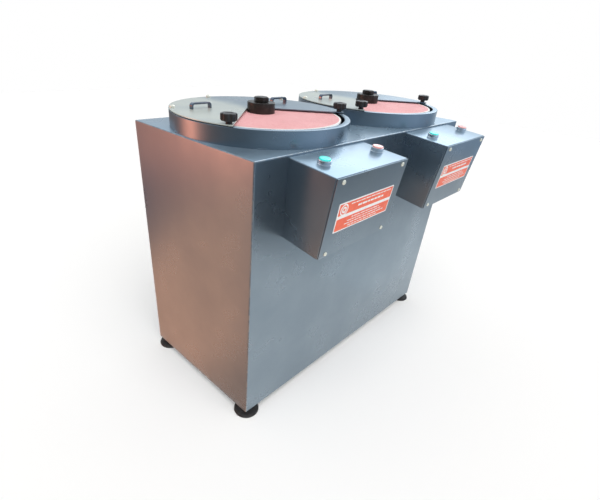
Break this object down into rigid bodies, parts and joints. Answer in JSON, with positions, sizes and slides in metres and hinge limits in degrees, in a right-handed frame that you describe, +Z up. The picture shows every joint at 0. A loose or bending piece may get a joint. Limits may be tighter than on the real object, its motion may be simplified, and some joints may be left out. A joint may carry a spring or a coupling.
{
  "type": "disc sander",
  "caption": "Floor-standing sheet-metal cabinet with level sanding discs in guard rings, lift-off covers with V-shaped work windows, and a start/stop box on the front for each disc.",
  "frame": {"origin": "on the floor, under the middle of the whole machine, control boxes and feet included", "axes": "+Z up, +X to the right as the operator sees it, -Y towards the operator"},
  "size_m": [0.942, 0.5842, 0.7855],
  "materials": {
    "cabinet_paint": "satin blue-grey powder coat on sheet steel",
    "cover_paint": "satin grey powder coat on sheet steel",
    "bare_steel": "plain rolled steel",
    "zinc_screws": "zinc plated, slightly yellow",
    "black_nylon": "moulded nylon",
    "foot_rubber": "black moulded rubber on a steel stud",
    "gasket_rubber": "black rubber",
    "motor_casting": "cast aluminium, grey painted",
    "fan_cowl_steel": "pressed steel, dark paint",
    "stator_core": "laminated steel with varnished copper windings",
    "bearing_steel": "ground bearing steel",
    "label_film": "printed polyester film",
    "bezel_chrome": "bright chrome plate",
    "handle_chrome": "bright chrome plate",
    "platen_aluminium": "turned aluminium",
    "abrasive_paper": "pink stearated abrasive on cloth backing",
    "black_oxide_steel": "blackened steel",
    "shaft_steel": "turned steel",
    "fan_plastic": "moulded plastic",
    "knob_plastic": "black phenolic moulding with a steel stud",
    "green_button": "moulded plastic",
    "red_button": "moulded plastic"
  },
  "bodies": {
    "root": {"base_plate": "bare_steel", "button_bezels": "bezel_chrome", "cabinet_shell": "cabinet_paint", "contact_blocks": "black_nylon", "contactors": "black_nylon", "cover_gaskets": "gasket_rubber", "drive_end_shields": "motor_casting", "fan_cowls": "fan_cowl_steel", "fan_end_shields": "motor_casting", "label_plates": "label_film", "left_control_box": "cabinet_paint", "left_control_lid": "cabinet_paint", "left_guard_ring": "cabinet_paint", "lid_screws": "zinc_screws", "motor_bearings": "bearing_steel", "motor_bolts": "zinc_screws", "motor_bridges": "bare_steel", "motor_cables": "gasket_rubber", "motor_frames": "motor_casting", "overload_relays": "black_nylon", "rear_panel": "cabinet_paint", "rear_panel_screws": "zinc_screws", "right_control_box": "cabinet_paint", "right_control_lid": "cabinet_paint", "right_guard_ring": "cabinet_paint", "stators": "stator_core", "supply_gland": "black_nylon", "terminal_boxes": "motor_casting", "wall_grommets": "gasket_rubber"},
    "left_disc": {"left_rotor_shaft": "shaft_steel", "left_motor_fan": "fan_plastic", "left_platen": "platen_aluminium", "left_abrasive_disc": "abrasive_paper", "left_clamp_flange": "black_oxide_steel", "left_clamp_bolt": "black_oxide_steel"},
    "left_cover_body": {"left_cover": "cover_paint", "left_cover_handles": "handle_chrome", "left_cover_screws": "zinc_screws"},
    "left_outer_knob_body": {"left_outer_knob": "knob_plastic"},
    "left_inner_knob_body": {"left_inner_knob": "knob_plastic"},
    "left_start_button_body": {"left_start_button": "green_button"},
    "left_stop_button_body": {"left_stop_button": "red_button"},
    "right_disc": {"right_rotor_shaft": "shaft_steel", "right_motor_fan": "fan_plastic", "right_platen": "platen_aluminium", "right_abrasive_disc": "abrasive_paper", "right_clamp_flange": "black_oxide_steel", "right_clamp_bolt": "black_oxide_steel"},
    "right_cover_body": {"right_cover": "cover_paint", "right_cover_handles": "handle_chrome", "right_cover_screws": "zinc_screws"},
    "right_inner_knob_body": {"right_inner_knob": "knob_plastic"},
    "right_outer_knob_body": {"right_outer_knob": "knob_plastic"},
    "right_start_button_body": {"right_start_button": "green_button"},
    "right_stop_button_body": {"right_stop_button": "red_button"},
    "front_left_foot_body": {"front_left_foot": "foot_rubber"},
    "front_right_foot_body": {"front_right_foot": "foot_rubber"},
    "rear_left_foot_body": {"rear_left_foot": "foot_rubber"},
    "rear_right_foot_body": {"rear_right_foot": "foot_rubber"}
  },
  "joints": [
    {"name": "left_disc_spin", "type": "hinge", "parent": "root", "child": "left_disc", "pos_m": [-0.235, 0.0556, 0.7485], "axis": [0, 0, 1], "continuous": true},
    {"name": "left_cover_lift", "type": "slide", "parent": "root", "child": "left_cover_body", "axis": [0, 0, 1], "range_m": [0, 0.06]},
    {"name": "left_outer_knob_turn", "type": "hinge", "parent": "left_cover_body", "child": "left_outer_knob_body", "pos_m": [-0.42131, -0.04555, 0.756], "axis": [0, 0, 1], "continuous": true},
    {"name": "left_inner_knob_turn", "type": "hinge", "parent": "left_cover_body", "child": "left_inner_knob_body", "pos_m": [-0.04869, -0.04555, 0.756], "axis": [0, 0, 1], "continuous": true},
    {"name": "left_start_press", "type": "slide", "parent": "root", "child": "left_start_button_body", "axis": [0, 0.0898, -0.996], "range_m": [0, 0.004], "stiffness_N_per_m": 800, "springref_m": -0.002},
    {"name": "left_stop_press", "type": "slide", "parent": "root", "child": "left_stop_button_body", "axis": [0, 0.0898, -0.996], "range_m": [0, 0.004], "stiffness_N_per_m": 800, "springref_m": -0.002},
    {"name": "right_disc_spin", "type": "hinge", "parent": "root", "child": "right_disc", "pos_m": [0.239, 0.0556, 0.7485], "axis": [0, 0, 1], "continuous": true},
    {"name": "right_cover_lift", "type": "slide", "parent": "root", "child": "right_cover_body", "axis": [0, 0, 1], "range_m": [0, 0.06]},
    {"name": "right_inner_knob_turn", "type": "hinge", "parent": "right_cover_body", "child": "right_inner_knob_body", "pos_m": [0.05269, -0.04555, 0.756], "axis": [0, 0, 1], "continuous": true},
    {"name": "right_outer_knob_turn", "type": "hinge", "parent": "right_cover_body", "child": "right_outer_knob_body", "pos_m": [0.42531, -0.04555, 0.756], "axis": [0, 0, 1], "continuous": true},
    {"name": "right_start_press", "type": "slide", "parent": "root", "child": "right_start_button_body", "axis": [0, 0.0898, -0.996], "range_m": [0, 0.004], "stiffness_N_per_m": 800, "springref_m": -0.002},
    {"name": "right_stop_press", "type": "slide", "parent": "root", "child": "right_stop_button_body", "axis": [0, 0.0898, -0.996], "range_m": [0, 0.004], "stiffness_N_per_m": 800, "springref_m": -0.002},
    {"name": "front_left_foot_turn", "type": "hinge", "parent": "root", "child": "front_left_foot_body", "pos_m": [-0.436, -0.1414, 0], "axis": [0, 0, 1], "continuous": true},
    {"name": "front_right_foot_turn", "type": "hinge", "parent": "root", "child": "front_right_foot_body", "pos_m": [0.436, -0.1414, 0], "axis": [0, 0, 1], "continuous": true},
    {"name": "rear_left_foot_turn", "type": "hinge", "parent": "root", "child": "rear_left_foot_body", "pos_m": [-0.436, 0.2426, 0], "axis": [0, 0, 1], "continuous": true},
    {"name": "rear_right_foot_turn", "type": "hinge", "parent": "root", "child": "rear_right_foot_body", "pos_m": [0.436, 0.2426, 0], "axis": [0, 0, 1], "continuous": true}
  ]
}
